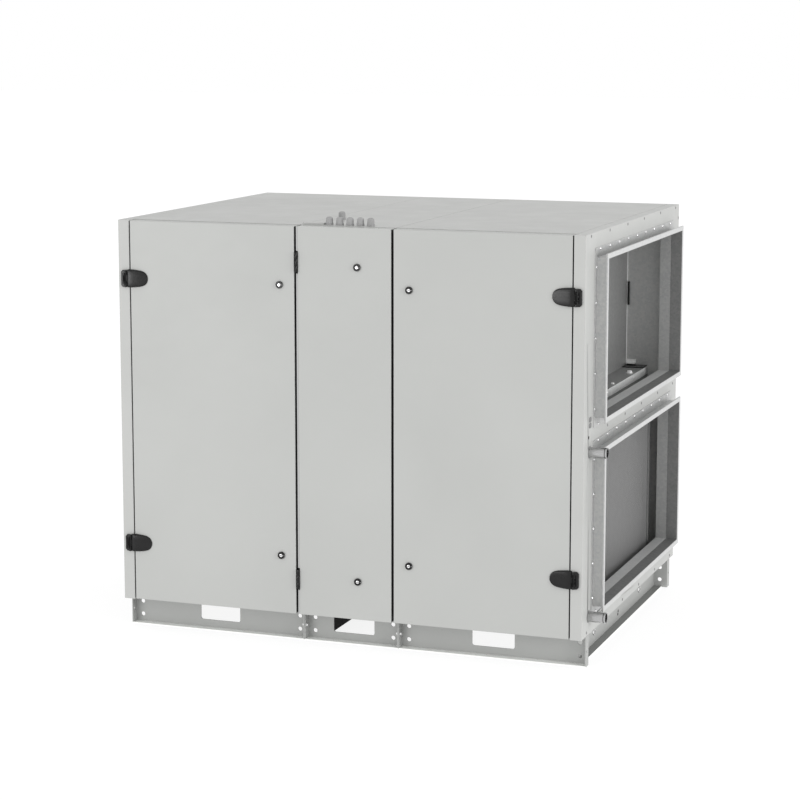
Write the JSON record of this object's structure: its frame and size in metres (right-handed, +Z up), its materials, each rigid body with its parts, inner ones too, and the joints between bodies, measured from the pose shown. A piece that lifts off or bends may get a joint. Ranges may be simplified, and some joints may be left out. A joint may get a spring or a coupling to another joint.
{
  "type": "air handling unit",
  "caption": "Modular air handling unit: insulated casing with hinged service doors on channel base frames, rectangular duct spigots on both ends and water coil pipe stubs.",
  "frame": {"origin": "middle of the whole outline on the floor", "axes": "+X along the length to the end with the pipe stubs, -Y out of the doors, +Z up"},
  "size_m": [2.123, 1.5694, 1.763],
  "materials": {
    "casing_paint": "satin light grey powder coat",
    "galvanised_sheet": "galvanised",
    "wheel_foil": "matt",
    "coil_fins": "matt",
    "pipe_steel": "satin",
    "gland_plastic": "matt light grey",
    "black_plastic": "satin black"
  },
  "bodies": {
    "casing": {"base_long_rails_left": "casing_paint", "base_long_rails_middle": "casing_paint", "base_long_rails_right": "casing_paint", "base_cross_rail_left": "casing_paint", "base_cross_rail_middle": "casing_paint", "base_cross_rails_right": "casing_paint", "floor_left": "casing_paint", "floor_middle": "casing_paint", "floor_right": "casing_paint", "roof_left": "casing_paint", "roof_middle": "casing_paint", "roof_right": "casing_paint", "back_panel_left": "casing_paint", "back_panel_middle": "casing_paint", "back_panel_right": "casing_paint", "end_panel_left": "casing_paint", "end_panel_right": "casing_paint", "front_posts": "galvanised_sheet", "deck_left": "galvanised_sheet", "deck_right": "galvanised_sheet", "bulkhead_upper_left": "galvanised_sheet", "bulkhead_lower_left": "galvanised_sheet", "bulkhead_upper_right": "galvanised_sheet", "rotor_casing": "galvanised_sheet", "rotor_wheel": "wheel_foil", "coil": "coil_fins", "coil_pipes": "pipe_steel", "spigot_upper_left": "galvanised_sheet", "spigot_lower_left": "galvanised_sheet", "spigot_upper_right": "galvanised_sheet", "spigot_lower_right": "galvanised_sheet", "left_frame_hinges": "black_plastic", "middle_frame_hinges": "black_plastic", "right_frame_hinges": "black_plastic", "gland_plate": "casing_paint", "cable_glands": "gland_plastic"},
    "left_door_leaf": {"left_door": "casing_paint", "left_door_hinges": "black_plastic", "left_door_locks": "black_plastic"},
    "middle_door_leaf": {"middle_door": "casing_paint", "middle_door_hinges": "black_plastic", "middle_door_locks": "black_plastic"},
    "right_door_leaf": {"right_door": "casing_paint", "right_door_hinges": "black_plastic", "right_door_locks": "black_plastic"}
  },
  "joints": [
    {"name": "left_door_hinge", "type": "hinge", "parent": "casing", "child": "left_door_leaf", "pos_m": [-0.9775, -0.77825, 0.928], "axis": [0, 0, -1], "range_deg": [0, 110]},
    {"name": "middle_door_hinge", "type": "hinge", "parent": "casing", "child": "middle_door_leaf", "pos_m": [-0.215, -0.77525, 0.928], "axis": [0, 0, -1], "range_deg": [0, 90]},
    {"name": "right_door_hinge", "type": "hinge", "parent": "casing", "child": "right_door_leaf", "pos_m": [0.9545, -0.77825, 0.928], "axis": [0, 0, 1], "range_deg": [0, 110]}
  ]
}
